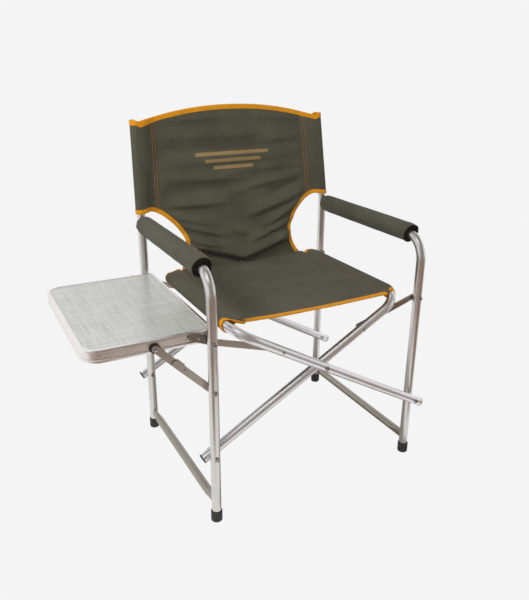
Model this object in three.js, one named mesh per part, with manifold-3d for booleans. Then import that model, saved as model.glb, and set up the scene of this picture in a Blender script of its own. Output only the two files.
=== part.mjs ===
// A folding director's chair with a drop-down side table, in millimetres with +Z up.
// The sitter faces -Y, the table is on the -X side, and the origin is under the middle of the box.
import * as THREE from "three";
import { mergeVertices } from "three/addons/utils/BufferGeometryUtils.js";
import Module from "manifold-3d";

const wasm = await Module();
wasm.setup();

// ---- driving dimensions ----
const GAP = 0.3; // left between pieces that touch
const SIDES = 16; // facets round a tube
const TUBE_R = 11;
const BORE_R = 9.7;
const BEND_R = 60; // of the arms and the seat tubes
const HALF_WIDTH = 280; // chair middle to the tubes of a side frame
const HALF_DEPTH = 224; // middle of a side frame to its front and rear tubes
const LAYER = 22.8; // one tube and a running gap: the right frame sits this much behind the left
const LEG_BOTTOM = 6.3; // a tube stands on the floor of its rubber foot
const ARM_Z = 600;
const POST_BEND_Z = 610;
const POST_TOP_Z = 838;
const POST_LEAN = 34; // how far the top of a post leans back
const POST_INWARD = 9; // and towards the middle
const RAIL_Z = 48;
const RAIL_R = 10;
const PIVOT_Z = 169; // lower pivots of the crossed tubes
const CROSS_ANGLE = THREE.MathUtils.degToRad(29.67); // of a crossed tube above the horizontal
const CROSS_END = 23; // past its lower pivot
const SEAT_REACH = 262; // crossing to the seat tube, along the crossed tube
const LINK_REACH = 132.8; // crossing to the link rivet
const LINK_LEG_Z = 445.3; // screw that holds a link, and the table's hinge, on a leg
const LINK_WIDTH = 14;
const PIN_R = 3;
const HOLE_R = 3.25;
const STITCH_X = 190; // seam where a seat sleeve ends
const SEAT_Z = 468.5;
const SEAT_SAG = 8;
const CLOTH = 1.6;
const TABLE_Z = [443, 470];
const TABLE_X = [-538, -266];
const TABLE_HALF_DEPTH = 204.6;
const TABLE_CORNER_R = 38;
const TRIM_WALL = 2.5;
const BRACE_LEG_Z = 333.4;
const BRACE_TABLE = [-397, 453]; // x and z of the pin on the table's edge
const BRACE_WIDTH = 16;
const BRACE_OVERRUN = 26; // of the lower bar past the knee

// Distances from the middle of a side frame, outwards to its tubes, of the flat pieces inside them.
const LINK_LAYER = [208.7, 212.7];
const BRACKET_LAYER = [204.9, 208.1];
const LOWER_BAR_LAYER = [210.7, 212.7];
const UPPER_BAR_LAYER = [208.4, 210.4];
const LEG_OUTER = HALF_DEPTH + TUBE_R;
const STACK = [HALF_DEPTH - LAYER / 2 - TUBE_R, HALF_DEPTH + LAYER / 2 + TUBE_R];

const CROSS_HALF = HALF_WIDTH / Math.cos(CROSS_ANGLE); // lower pivot to crossing
const CROSS_Z = PIVOT_Z + HALF_WIDTH * Math.tan(CROSS_ANGLE);
const SEAT_TUBE_X = SEAT_REACH * Math.cos(CROSS_ANGLE);
const SEAT_TUBE_Z = CROSS_Z + SEAT_REACH * Math.sin(CROSS_ANGLE);
const ENDS = [
  { name: "front", way: -1 },
  { name: "rear", way: 1 },
];
const FRAMES = [
  { name: "left", way: -1, middle: -LAYER / 2 },
  { name: "right", way: 1, middle: LAYER / 2 },
];

// ---- materials ----
function material(colour, roughness, metalness) {
  return new THREE.MeshStandardMaterial({ color: colour, roughness, metalness });
}

const ALUMINIUM = material("#c4bfb6", 0.35, 1);
const RAIL_METAL = material("#9c9488", 0.55, 1);
const DARK_STEEL = material("#3b3936", 0.5, 1);
const SCREW_STEEL = material("#8d8a86", 0.4, 1);
const RUBBER = material("#35342f", 0.85, 0);
const BLACK_PLASTIC = material("#26241f", 0.6, 0);
const CANVAS = material("#55514a", 0.95, 0);
const PAD_CANVAS = material("#5f5c50", 0.95, 0);
const FOAM = material("#2b2a28", 1, 0);
const LAMINATE = material("#c6c7c2", 0.55, 0);
const TRIM_METAL = material("#a69790", 0.45, 1);

// ---- shapes ----
const at = (x, y, z) => new THREE.Vector3(x, y, z);

// Straight stretches joined by round bends. A tube drawn along it has a ring only where it needs one.
class BentPath extends THREE.Curve {
  constructor(corners, radius, bendSteps = 7) {
    super();
    this.rings = [];
    corners.forEach((corner, i) => {
      const before = corners[i - 1];
      const after = corners[i + 1];
      if (before && after) this.addBend(before, corner, after, radius, bendSteps);
      else if (after) this.addRing(corner, after.clone().sub(corner).normalize());
      else this.addRing(corner, corner.clone().sub(before).normalize());
    });
  }

  addRing(point, tangent) {
    const last = this.rings.at(-1);
    if (last && last.point.distanceTo(point) < 0.01) return;
    this.rings.push({ point: point.clone(), tangent });
  }

  addBend(before, corner, after, radius, steps) {
    const into = corner.clone().sub(before).normalize();
    const out = after.clone().sub(corner).normalize();
    const turn = into.angleTo(out);
    const inward = out.clone().addScaledVector(into, -Math.cos(turn)).normalize();
    const start = corner.clone().addScaledVector(into, -radius * Math.tan(turn / 2));
    for (let i = 0; i <= steps; i++) {
      const angle = (turn * i) / steps;
      const point = start
        .clone()
        .addScaledVector(into, radius * Math.sin(angle))
        .addScaledVector(inward, radius * (1 - Math.cos(angle)));
      const tangent = into
        .clone()
        .multiplyScalar(Math.cos(angle))
        .addScaledVector(inward, Math.sin(angle));
      this.addRing(point, tangent);
    }
  }

  get steps() {
    return this.rings.length - 1;
  }

  getPoint(t) {
    return this.rings[Math.round(t * this.steps)].point.clone();
  }

  getTangentAt(t, target = new THREE.Vector3()) {
    return target.copy(this.rings[Math.round(t * this.steps)].tangent);
  }

  getSpacedPoints() {
    return this.rings.map((ring) => ring.point.clone());
  }
}

function circle(radius, sides) {
  return Array.from({ length: sides }, (_, i) => {
    const turn = (2 * Math.PI * i) / sides;
    return new THREE.Vector2(radius * Math.cos(turn), radius * Math.sin(turn));
  });
}

// A hollow tube, open at both ends.
function pipe(path, outerR, innerR, innerSides = SIDES) {
  const section = new THREE.Shape(circle(outerR, SIDES));
  section.holes.push(new THREE.Path(circle(innerR, innerSides)));
  return new THREE.ExtrudeGeometry(section, { steps: path.steps, extrudePath: path });
}

const metalTube = (path) => pipe(path, TUBE_R, BORE_R, SIDES / 2);

// A closed skin through rings of equal length, capped at both ends or closed on itself.
function loft(rings, capped) {
  const count = rings[0].length;
  const last = rings.length - 1;
  const index = [];
  for (let k = 0; k < (capped ? last : rings.length); k++) {
    const a = k * count;
    const b = ((k + 1) % rings.length) * count;
    for (let i = 0; i < count; i++) {
      const j = (i + 1) % count;
      index.push(a + i, a + j, b + j, a + i, b + j, b + i);
    }
  }
  for (let i = 0; capped && i < count / 2 - 1; i++) {
    const corners = [i, i + 1, count - 2 - i, count - 1 - i];
    const [p, q, r, s] = corners;
    index.push(p, r, q, p, s, r);
    const [t, u, v, w] = corners.map((corner) => last * count + corner);
    index.push(t, u, v, t, v, w);
  }
  const geometry = new THREE.BufferGeometry().setFromPoints(rings.flat());
  geometry.setIndex(index);
  return geometry;
}

// A thin sheet: place(u, v) with u and v from 0 to 1 is its middle, and it is CLOTH thick along across.
function sheet(place, across, columns, rows) {
  const half = across.clone().multiplyScalar(CLOTH / 2);
  const rings = [];
  for (let i = 0; i <= columns; i++) {
    const line = Array.from({ length: rows + 1 }, (_, j) => place(i / columns, j / rows));
    const near = line.map((point) => point.clone().sub(half));
    const far = line.map((point) => point.clone().add(half));
    rings.push([...near, ...far.reverse()]);
  }
  return loft(rings, true);
}

function toSolid(geometry) {
  const bare = geometry.clone();
  bare.deleteAttribute("normal");
  bare.deleteAttribute("uv");
  const merged = mergeVertices(bare, 1e-3);
  const triVerts = new Uint32Array(merged.index.array);
  const vertProperties = merged.attributes.position.array;
  const solid = new wasm.Manifold(new wasm.Mesh({ numProp: 3, vertProperties, triVerts }));
  if (solid.volume() > 0) return solid;
  triVerts.reverse();
  return new wasm.Manifold(new wasm.Mesh({ numProp: 3, vertProperties, triVerts }));
}

function toGeometry(solid) {
  const { vertProperties, triVerts } = solid.getMesh();
  const geometry = new THREE.BufferGeometry();
  geometry.setAttribute("position", new THREE.BufferAttribute(vertProperties, 3));
  geometry.setIndex(new THREE.BufferAttribute(triVerts, 1));
  geometry.computeVertexNormals();
  return geometry;
}

const outward = (geometry) => toGeometry(toSolid(geometry));
const cut = (geometry, tools) =>
  toGeometry(tools.reduce((left, tool) => left.subtract(toSolid(tool)), toSolid(geometry)));
const join = (first, second) => toGeometry(toSolid(first).add(toSolid(second)));

// A drill along Y through x, z, from y = -reach to y = reach about the given middle.
function drill(x, z, middle = 0, reach = HALF_DEPTH + 3 * TUBE_R) {
  return new THREE.CylinderGeometry(HOLE_R, HOLE_R, 2 * reach, 12).translate(x, middle, z);
}

// The round stock of an upright, to fit another tube's end to it.
function upright(x, y) {
  const height = 2 * ARM_Z;
  const stock = new THREE.CylinderGeometry(TUBE_R + GAP, TUBE_R + GAP, height, 2 * SIDES);
  return stock.rotateX(Math.PI / 2).translate(x, y, height / 2);
}

// A flat plate whose outline is drawn in x and z, between two y values.
function plate(outline, y) {
  const [low, high] = [Math.min(...y), Math.max(...y)];
  const options = { depth: high - low, bevelEnabled: false, curveSegments: 8 };
  return new THREE.ExtrudeGeometry(outline, options).rotateX(Math.PI / 2).translate(0, high, 0);
}

// A bar's outline with round ends about (0, 0) and (length, 0), carried on past its far end by overrun.
function barOutline(length, width, overrun = 0) {
  const outline = new THREE.Shape();
  outline.absarc(length + overrun, 0, width / 2, -Math.PI / 2, Math.PI / 2, false);
  outline.absarc(0, 0, width / 2, Math.PI / 2, 1.5 * Math.PI, false);
  for (const x of [0, length]) {
    const hole = new THREE.Path();
    hole.absarc(x, 0, HOLE_R, 0, 2 * Math.PI, true);
    outline.holes.push(hole);
  }
  return outline;
}

// ---- assembly helpers ----
const chair = new THREE.Group();

function add(name, geometry, finish, parent = chair) {
  const mesh = new THREE.Mesh(geometry, finish);
  mesh.name = name;
  parent.add(mesh);
  return mesh;
}

// Adds a bar that starts at (x, z), points at an angle above +X and lies in a layer of a side frame.
function addBar(name, outline, layer, frame, end, [x, z], angle, finish) {
  const reach = layer.map((distance) => end.way * distance);
  const bar = add(name, outward(plate(outline, reach)), finish);
  bar.position.set(x, frame.middle, z);
  bar.rotation.y = -angle;
  return bar;
}

// Adds a screw or pin along Y. Its shank runs from inner to outer, measured outwards from middle.
function addPin(name, [x, z], middle, end, [inner, outer], innerHead = 3, outerHead = 3) {
  const headR = 6;
  const profile = [[0, inner - innerHead]];
  if (innerHead) profile.push([headR, inner - innerHead], [headR, inner - GAP], [PIN_R, inner - GAP]);
  else profile.push([PIN_R, inner]);
  profile.push([PIN_R, outer + GAP], [headR, outer + GAP]);
  profile.push([headR - 1, outer + outerHead], [0, outer + outerHead]);
  const points = profile.map(([r, y]) => new THREE.Vector2(r, y));
  const pin = add(name, outward(new THREE.LatheGeometry(points, 12)), SCREW_STEEL);
  pin.position.set(x, middle, z);
  if (end.way < 0) pin.rotation.z = Math.PI;
}

// ---- side frames ----
function postLine(frame) {
  const y = frame.middle + HALF_DEPTH;
  const bend = at(frame.way * HALF_WIDTH, y, POST_BEND_Z);
  const top = at(frame.way * (HALF_WIDTH - POST_INWARD), y + POST_LEAN, POST_TOP_Z);
  return { bend, top, way: top.clone().sub(bend).normalize() };
}

function addRearPost(frame) {
  const { bend, top } = postLine(frame);
  const path = new BentPath([at(bend.x, bend.y, LEG_BOTTOM), bend, top], 150, 4);
  const holes = [drill(bend.x, PIVOT_Z), drill(bend.x, LINK_LEG_Z)];
  if (frame.name === "left") holes.push(drill(bend.x, BRACE_LEG_Z));
  add(`${frame.name}_rear_post`, cut(metalTube(path), holes), ALUMINIUM);
}

function addArmTube(frame) {
  const x = frame.way * HALF_WIDTH;
  const front = frame.middle - HALF_DEPTH;
  const rear = frame.middle + HALF_DEPTH;
  const corners = [at(x, front, LEG_BOTTOM), at(x, front, ARM_Z), at(x, rear - 1, ARM_Z)];
  const path = new BentPath(corners, BEND_R, 9);
  const tools = [drill(x, PIVOT_Z), drill(x, LINK_LEG_Z), upright(x, rear)];
  if (frame.name === "left") tools.push(drill(x, BRACE_LEG_Z));
  add(`${frame.name}_arm_tube`, cut(metalTube(path), tools), ALUMINIUM);
}

// The rail is round in the middle and pressed flat at its ends, which fit the uprights.
function addLowerRail(frame) {
  const x = frame.way * HALF_WIDTH;
  const wall = 1.3;
  const flat = { wide: 5.5, high: 12.5 };
  const round = { wide: RAIL_R, high: RAIL_R };
  const stations = [
    [-HALF_DEPTH + 8, flat],
    [-HALF_DEPTH + 26, flat],
    [-HALF_DEPTH + 46, round],
    [HALF_DEPTH - 46, round],
    [HALF_DEPTH - 26, flat],
    [HALF_DEPTH - 8, flat],
  ];
  const ring = (y, shape, inset) =>
    circle(1, SIDES).map(({ x: across, y: up }) =>
      at(x + across * (shape.wide - inset), frame.middle + y, RAIL_Z + up * (shape.high - inset)),
    );
  const outer = stations.map(([y, shape]) => ring(y, shape, 0));
  const inner = stations.map(([y, shape]) => ring(y, shape, wall)).reverse();
  const uprights = ENDS.map((end) => upright(x, frame.middle + end.way * HALF_DEPTH));
  add(`${frame.name}_lower_rail`, cut(loft([...outer, ...inner], false), uprights), RAIL_METAL);
}

function addFeet(frame) {
  const bore = TUBE_R + 2 * GAP;
  const outer = bore + 1.6;
  const floor = LEG_BOTTOM - GAP;
  const height = 28;
  const outline = [[0, 0], [outer - 1.5, 0], [outer, 1.5], [outer, height - 1], [outer - 0.8, height]];
  outline.push([bore, height], [bore, floor], [0, floor]);
  const points = outline.map(([r, z]) => new THREE.Vector2(r, z));
  for (const end of ENDS) {
    const foot = outward(new THREE.LatheGeometry(points, SIDES).rotateX(Math.PI / 2));
    const mesh = add(`${frame.name}_${end.name}_foot`, foot, RUBBER);
    mesh.position.set(frame.way * HALF_WIDTH, frame.middle + end.way * HALF_DEPTH, 0);
  }
}

// Foam on the arm in a sewn cover. Both start on the arm's front bend and stop short of the post.
function addArmPad(frame) {
  const x = frame.way * HALF_WIDTH;
  const bendEnd = frame.middle - HALF_DEPTH + BEND_R;
  const turn = THREE.MathUtils.degToRad(25);
  const start = at(x, bendEnd - BEND_R * Math.sin(turn), ARM_Z - BEND_R * (1 - Math.cos(turn)));
  const corner = at(x, bendEnd - BEND_R * Math.tan(turn / 2), ARM_Z);
  const path = new BentPath([start, corner, at(x, frame.middle + HALF_DEPTH - 24, ARM_Z)], BEND_R, 3);
  add(`${frame.name}_arm_foam`, outward(pipe(path, 21.9, 11.5)), FOAM);
  add(`${frame.name}_arm_cover`, outward(pipe(path, 24, 22.4)), PAD_CANVAS);
}

function addPostTop(frame) {
  const { bend, top, way } = postLine(frame);
  const profile = [[0, -12], [8.6, -12], [8.6, GAP], [10.8, GAP], [10.8, 1.5], [9.5, 2.5], [0, 2.5]];
  const points = profile.map(([r, y]) => new THREE.Vector2(r, y));
  const turned = outward(new THREE.LatheGeometry(points, SIDES));
  const plug = add(`${frame.name}_post_plug`, turned, BLACK_PLASTIC);
  plug.position.copy(top);
  plug.quaternion.setFromUnitVectors(at(0, 1, 0), way);
  const low = bend.clone().addScaledVector(way, 4);
  const high = top.clone().addScaledVector(way, 6);
  const sleeve = pipe(new BentPath([low, high], 1), 13.2, 11.9);
  add(`${frame.name}_back_sleeve`, outward(sleeve), CANVAS);
}

// ---- crossed tubes ----
// Each one is a flat U: its two arms run from the lower pivots up through the crossing to the seat.
function addCrossTube(frame) {
  const group = new THREE.Group();
  group.position.set(0, frame.middle, CROSS_Z);
  group.rotation.y = -(frame.way > 0 ? CROSS_ANGLE : Math.PI - CROSS_ANGLE);
  chair.add(group);
  const low = -(CROSS_HALF + CROSS_END);
  const corners = [at(low, -HALF_DEPTH, 0), at(SEAT_REACH, -HALF_DEPTH, 0)];
  corners.push(at(SEAT_REACH, HALF_DEPTH, 0), at(low, HALF_DEPTH, 0));
  const holes = [drill(0, 0), drill(-CROSS_HALF, 0)];
  const tube = cut(metalTube(new BentPath(corners, BEND_R, 8)), holes);
  add(`${frame.name}_seat_tube`, tube, ALUMINIUM, group);
  const profile = [[0, -12], [8.6, -12], [8.6, GAP], [TUBE_R, GAP], [TUBE_R, 1.8], [9.5, 2.5], [0, 2.5]];
  const points = profile.map(([r, y]) => new THREE.Vector2(r, y));
  for (const end of ENDS) {
    const plug = outward(new THREE.LatheGeometry(points, SIDES).rotateZ(Math.PI / 2));
    const mesh = add(`${frame.name}_seat_tube_${end.name}_plug`, plug, BLACK_PLASTIC, group);
    mesh.position.set(low, end.way * HALF_DEPTH, 0);
  }
}

function addLinks(frame) {
  const rivetX = -LINK_REACH * Math.cos(CROSS_ANGLE);
  const rivetZ = CROSS_Z + LINK_REACH * Math.sin(CROSS_ANGLE);
  const across = rivetX + HALF_WIDTH;
  const length = Math.hypot(across, rivetZ - LINK_LEG_Z);
  const drop = Math.atan2(rivetZ - LINK_LEG_Z, across);
  const angle = frame.way < 0 ? drop : Math.PI - drop;
  const outline = barOutline(length, LINK_WIDTH);
  for (const end of ENDS) {
    const name = `${frame.name}_${end.name}_link`;
    addBar(name, outline, LINK_LAYER, frame, end, [frame.way * HALF_WIDTH, LINK_LEG_Z], angle, ALUMINIUM);
  }
}

function addPivotPins(frame, end) {
  const x = frame.way * HALF_WIDTH;
  const place = `${frame.name}_${end.name}`;
  const inside = frame.name === "left" ? BRACKET_LAYER[0] + GAP : LINK_LAYER[0];
  const nut = frame.name === "left" ? 0 : 3;
  addPin(`${place}_lower_pivot`, [x, PIVOT_Z], 0, end, STACK);
  addPin(`${place}_link_screw`, [x, LINK_LEG_Z], frame.middle, end, [inside, LEG_OUTER], nut);
}

// ---- side table ----
function tableOutline(inset) {
  const [x0, x1] = [TABLE_X[0] + inset, TABLE_X[1] - inset];
  const y1 = TABLE_HALF_DEPTH - inset;
  const r = TABLE_CORNER_R - inset;
  const outline = new THREE.Shape();
  outline.moveTo(x1, -y1);
  outline.lineTo(x1, y1);
  outline.lineTo(x0 + r, y1);
  outline.absarc(x0 + r, y1 - r, r, Math.PI / 2, Math.PI, false);
  outline.absarc(x0 + r, -y1 + r, r, Math.PI, 1.5 * Math.PI, false);
  outline.closePath();
  return outline;
}

function tableSlab(inset, low, high) {
  const options = { depth: high - low, bevelEnabled: false, curveSegments: 6 };
  return new THREE.ExtrudeGeometry(tableOutline(inset), options).translate(0, 0, low);
}

// A board in an edge trim that has a wall, a bottom lip and a ledge under the board.
function addTableTop() {
  const frame = FRAMES[0];
  const [low, high] = TABLE_Z;
  const wall = TRIM_WALL;
  const board = [464.2, high];
  const ledge = [461.5, 463.9];
  const pockets = [
    tableSlab(wall, ledge[1], high + 1),
    tableSlab(wall, low + wall, ledge[0]),
    tableSlab(8.5, low - 1, high + 1),
    drill(...BRACE_TABLE),
  ];
  const trim = add("table_trim", cut(tableSlab(0, low, high), pockets), TRIM_METAL);
  trim.position.y = frame.middle;
  const top = add("table_board", outward(tableSlab(wall + GAP, ...board)), LAMINATE);
  top.position.y = frame.middle;
}

function addTableHardware(end) {
  const frame = FRAMES[0];
  const [tableX, tableZ] = BRACE_TABLE;
  const x = -HALF_WIDTH;
  const hinge = [x, LINK_LEG_Z];
  const span = Math.hypot(tableX - x, tableZ - BRACE_LEG_Z);
  const angle = Math.atan2(tableZ - BRACE_LEG_Z, tableX - x);
  const half = span / 2;
  const knee = [(tableX + x) / 2, (tableZ + BRACE_LEG_Z) / 2];

  const bracketReach = 25;
  const bracketAngle = THREE.MathUtils.degToRad(156);
  const bracket = barOutline(bracketReach, 17, 16);
  addBar(`${end.name}_table_bracket`, bracket, BRACKET_LAYER, frame, end, hinge, bracketAngle, DARK_STEEL);

  const washer = new THREE.Shape();
  washer.absarc(0, 0, 11, 0, 2 * Math.PI, false);
  const bore = new THREE.Path();
  bore.absarc(0, 0, HOLE_R, 0, 2 * Math.PI, true);
  washer.holes.push(bore);
  addBar(`${end.name}_table_washer`, washer, BRACKET_LAYER, frame, end, BRACE_TABLE, 0, BLACK_PLASTIC);

  const upper = barOutline(half, BRACE_WIDTH);
  addBar(`${end.name}_upper_brace`, upper, UPPER_BAR_LAYER, frame, end, knee, angle, ALUMINIUM);
  const lower = barOutline(half, BRACE_WIDTH, BRACE_OVERRUN);
  const foot = [x, BRACE_LEG_Z];
  addBar(`${end.name}_lower_brace`, lower, LOWER_BAR_LAYER, frame, end, foot, angle, ALUMINIUM);

  const legReach = [LOWER_BAR_LAYER[0], LEG_OUTER];
  const tableReach = [TABLE_HALF_DEPTH - TRIM_WALL, UPPER_BAR_LAYER[1]];
  addPin(`${end.name}_brace_leg_pin`, foot, frame.middle, end, legReach, 1.7);
  addPin(`${end.name}_brace_table_pin`, BRACE_TABLE, frame.middle, end, tableReach, 3, 1.5);
}

// ---- canvas ----
// A sleeve round a seat tube, with a flap that reaches the seam.
function addSeatSleeve(frame) {
  const group = new THREE.Group();
  group.position.set(0, frame.middle, CROSS_Z);
  group.rotation.y = -(frame.way > 0 ? CROSS_ANGLE : Math.PI - CROSS_ANGLE);
  group.updateMatrixWorld();
  const turn = THREE.MathUtils.degToRad(14);
  const straight = HALF_DEPTH - BEND_R;
  const mouth = at(SEAT_REACH - BEND_R * (1 - Math.cos(turn)), straight + BEND_R * Math.sin(turn), 0);
  const corner = at(SEAT_REACH, straight + BEND_R * Math.tan(turn / 2), 0);
  const flip = (point) => at(point.x, -point.y, 0);
  const path = new BentPath([flip(mouth), flip(corner), corner, mouth], BEND_R, 2);
  const tube = pipe(path, 13.2, 11.5).applyMatrix4(group.matrixWorld);
  const flapInner = STITCH_X + GAP / 2;
  const flapOuter = SEAT_TUBE_X - 7.6;
  const flap = new THREE.BoxGeometry(flapOuter - flapInner, 2 * mouth.y, 2 * CLOTH);
  flap.translate((frame.way * (flapInner + flapOuter)) / 2, frame.middle, SEAT_TUBE_Z + 10.8);
  add(`${frame.name}_seat_sleeve`, join(tube, flap), CANVAS);
}

function addSeatHalf(frame) {
  const [front, rear] = [-206, 194];
  const place = (u, v) => {
    const x = THREE.MathUtils.lerp(GAP / 2, STITCH_X - GAP / 2, u);
    const sag = SEAT_SAG * (1 - (x / STITCH_X) ** 2);
    return at(frame.way * x, THREE.MathUtils.lerp(front, rear, v), SEAT_Z - sag);
  };
  add(`${frame.name}_seat_panel`, outward(sheet(place, at(0, 0, 1), 6, 1)), CANVAS);
}

// Depth of the back's canvas at x, z: it runs from the left post's line to the right post's.
function backDepth(x, z) {
  const lean = (POST_LEAN * Math.max(0, z - POST_BEND_Z)) / (POST_TOP_Z - POST_BEND_Z);
  return HALF_DEPTH + (LAYER / 2) * (x / HALF_WIDTH) + lean;
}

function addBackPanel() {
  const [corner, crown] = [844, 37];
  const bottom = (across) => 603 + 11 * across ** 6;
  const place = (u, v) => {
    const across = 2 * u - 1;
    const top = corner + crown * (1 - across ** 2);
    const z = THREE.MathUtils.lerp(bottom(across), top, v);
    const inward = (POST_INWARD * Math.max(0, z - POST_BEND_Z)) / (POST_TOP_Z - POST_BEND_Z);
    const x = across * (HALF_WIDTH - inward - 14.5);
    return at(x, backDepth(x, z), z);
  };
  add("back_panel", outward(sheet(place, at(0, 1, 0), 12, 6)), CANVAS);
}

// The waisted cloth from the foot of the back to the rear edge of the seat.
function addLowerBack() {
  const [high, low] = [603 - GAP, 471];
  const seatEdge = 197;
  const waist = { width: 138, height: 0.42 };
  const place = (u, v) => {
    const across = 2 * u - 1;
    const flare = v > waist.height ? (v - waist.height) / (1 - waist.height) : 1 - v / waist.height;
    const reach = v > waist.height ? 92 : 46;
    const x = across * (waist.width + reach * flare ** 2);
    const z = THREE.MathUtils.lerp(low, high, v);
    return at(x, THREE.MathUtils.lerp(seatEdge, backDepth(x, high), v), z);
  };
  add("lower_back_panel", outward(sheet(place, at(0, 1, 0), 8, 8)), CANVAS);
}

// ---- the chair ----
for (const frame of FRAMES) {
  addRearPost(frame);
  addArmTube(frame);
  addLowerRail(frame);
  addFeet(frame);
  addArmPad(frame);
  addPostTop(frame);
  addCrossTube(frame);
  addLinks(frame);
  addSeatSleeve(frame);
  addSeatHalf(frame);
  for (const end of ENDS) addPivotPins(frame, end);
}
for (const end of ENDS) {
  addPin(`${end.name}_crossing_pivot`, [0, CROSS_Z], 0, end, STACK);
  addTableHardware(end);
}
addTableTop();
addBackPanel();
addLowerBack();

const box = new THREE.Box3().setFromObject(chair, true);
chair.position.set(-(box.min.x + box.max.x) / 2, -(box.min.y + box.max.y) / 2, -box.min.z);

export default chair;
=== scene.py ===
# Looks for the folding director's chair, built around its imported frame.
import math
import random

import bmesh
import bpy
from mathutils import Matrix, Vector, noise


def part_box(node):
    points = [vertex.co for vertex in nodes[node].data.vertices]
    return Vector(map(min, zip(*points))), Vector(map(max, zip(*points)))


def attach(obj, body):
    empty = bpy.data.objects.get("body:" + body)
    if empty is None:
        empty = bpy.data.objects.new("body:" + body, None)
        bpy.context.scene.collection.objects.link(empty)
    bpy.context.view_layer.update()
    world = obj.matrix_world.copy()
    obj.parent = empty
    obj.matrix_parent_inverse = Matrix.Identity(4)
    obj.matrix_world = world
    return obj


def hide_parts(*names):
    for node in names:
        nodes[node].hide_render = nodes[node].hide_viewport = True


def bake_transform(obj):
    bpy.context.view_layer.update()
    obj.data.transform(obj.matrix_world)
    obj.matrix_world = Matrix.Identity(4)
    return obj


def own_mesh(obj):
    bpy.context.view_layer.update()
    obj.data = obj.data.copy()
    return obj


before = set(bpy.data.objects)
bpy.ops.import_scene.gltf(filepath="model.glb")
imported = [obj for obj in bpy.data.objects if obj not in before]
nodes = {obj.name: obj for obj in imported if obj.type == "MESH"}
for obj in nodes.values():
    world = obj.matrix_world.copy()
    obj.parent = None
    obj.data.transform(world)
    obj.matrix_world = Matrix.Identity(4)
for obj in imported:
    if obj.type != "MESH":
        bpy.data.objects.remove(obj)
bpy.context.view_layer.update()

# ---- driving dimensions, mm from the middle of the chair, as the frame has them ----
TUBE_R = 11
BEND_R = 60
HALF_WIDTH = 280
HALF_DEPTH = 224
LAYER = 22.8
ARM_Z = 600
POST_BEND_Z = 610
POST_TOP_Z = 838
POST_LEAN = 34
POST_INWARD = 9
LEG_BOTTOM = 6.3
RAIL_Z = 48
RAIL_R = 10
CROSS_ANGLE = math.radians(29.67)
SEAT_REACH = 262
LINK_REACH = 132.8
CROSS_END = 23
PIVOT_Z = 169
LINK_LEG_Z = 445.3
BRACE_LEG_Z = 333.4
BRACE_TABLE = (-397, 453)
STITCH_X = 190
SEAT_Z = 468.5
TABLE_X = (-538, -266)
TABLE_Z = (443, 470)
TABLE_HALF_DEPTH = 204.6
TABLE_CORNER_R = 38
SPLIT_Z = 603  # where the lower back hinges on the back
PAPER = 0.905  # brightness of the floor and of the room

CROSS_HALF = HALF_WIDTH / math.cos(CROSS_ANGLE)
CROSS_Z = PIVOT_Z + HALF_WIDTH * math.tan(CROSS_ANGLE)
FRAMES = {"left": (-1, -LAYER / 2), "right": (1, LAYER / 2)}  # which way it lies, and its depth
ENDS = {"front": -1, "rear": 1}
UP = Vector((0, 0, 1))


def middle_of(node):
    low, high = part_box(node)
    return (low + high) / 2


ORIGIN = (middle_of("left_front_foot") + middle_of("right_rear_foot")) / 2
ORIGIN.z = 0


def mm(x, y, z):
    """A point in the frame's metres, from millimetres about the middle of the chair."""
    return ORIGIN + Vector((x, y, z)) / 1000


def srgb(code):
    """A linear colour from a hex code."""
    levels = [int(code[i : i + 2], 16) / 255 for i in (1, 3, 5)]
    return [c / 12.92 if c <= 0.04045 else ((c + 0.055) / 1.055) ** 2.4 for c in levels] + [1]


# ---- camera ----
def add_camera():
    azimuth, elevation, roll = (math.radians(a) for a in (-27.79, 20.96, 0.37))
    back = Vector((
        math.sin(azimuth) * math.cos(elevation),
        -math.cos(azimuth) * math.cos(elevation),
        math.sin(elevation),
    ))
    right = Vector((math.cos(azimuth), math.sin(azimuth), 0))
    up = back.cross(right)
    x_axis = math.cos(roll) * right + math.sin(roll) * up
    y_axis = back.cross(x_axis)
    data = bpy.data.cameras.new("camera")
    data.lens = 37.76
    camera = bpy.data.objects.new("camera", data)
    bpy.context.scene.collection.objects.link(camera)
    turn = Matrix((x_axis, y_axis, back)).transposed().to_4x4()
    camera.matrix_world = Matrix.Translation(mm(-734.8, -1327.2, 994.7)) @ turn
    bpy.context.scene.camera = camera


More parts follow.
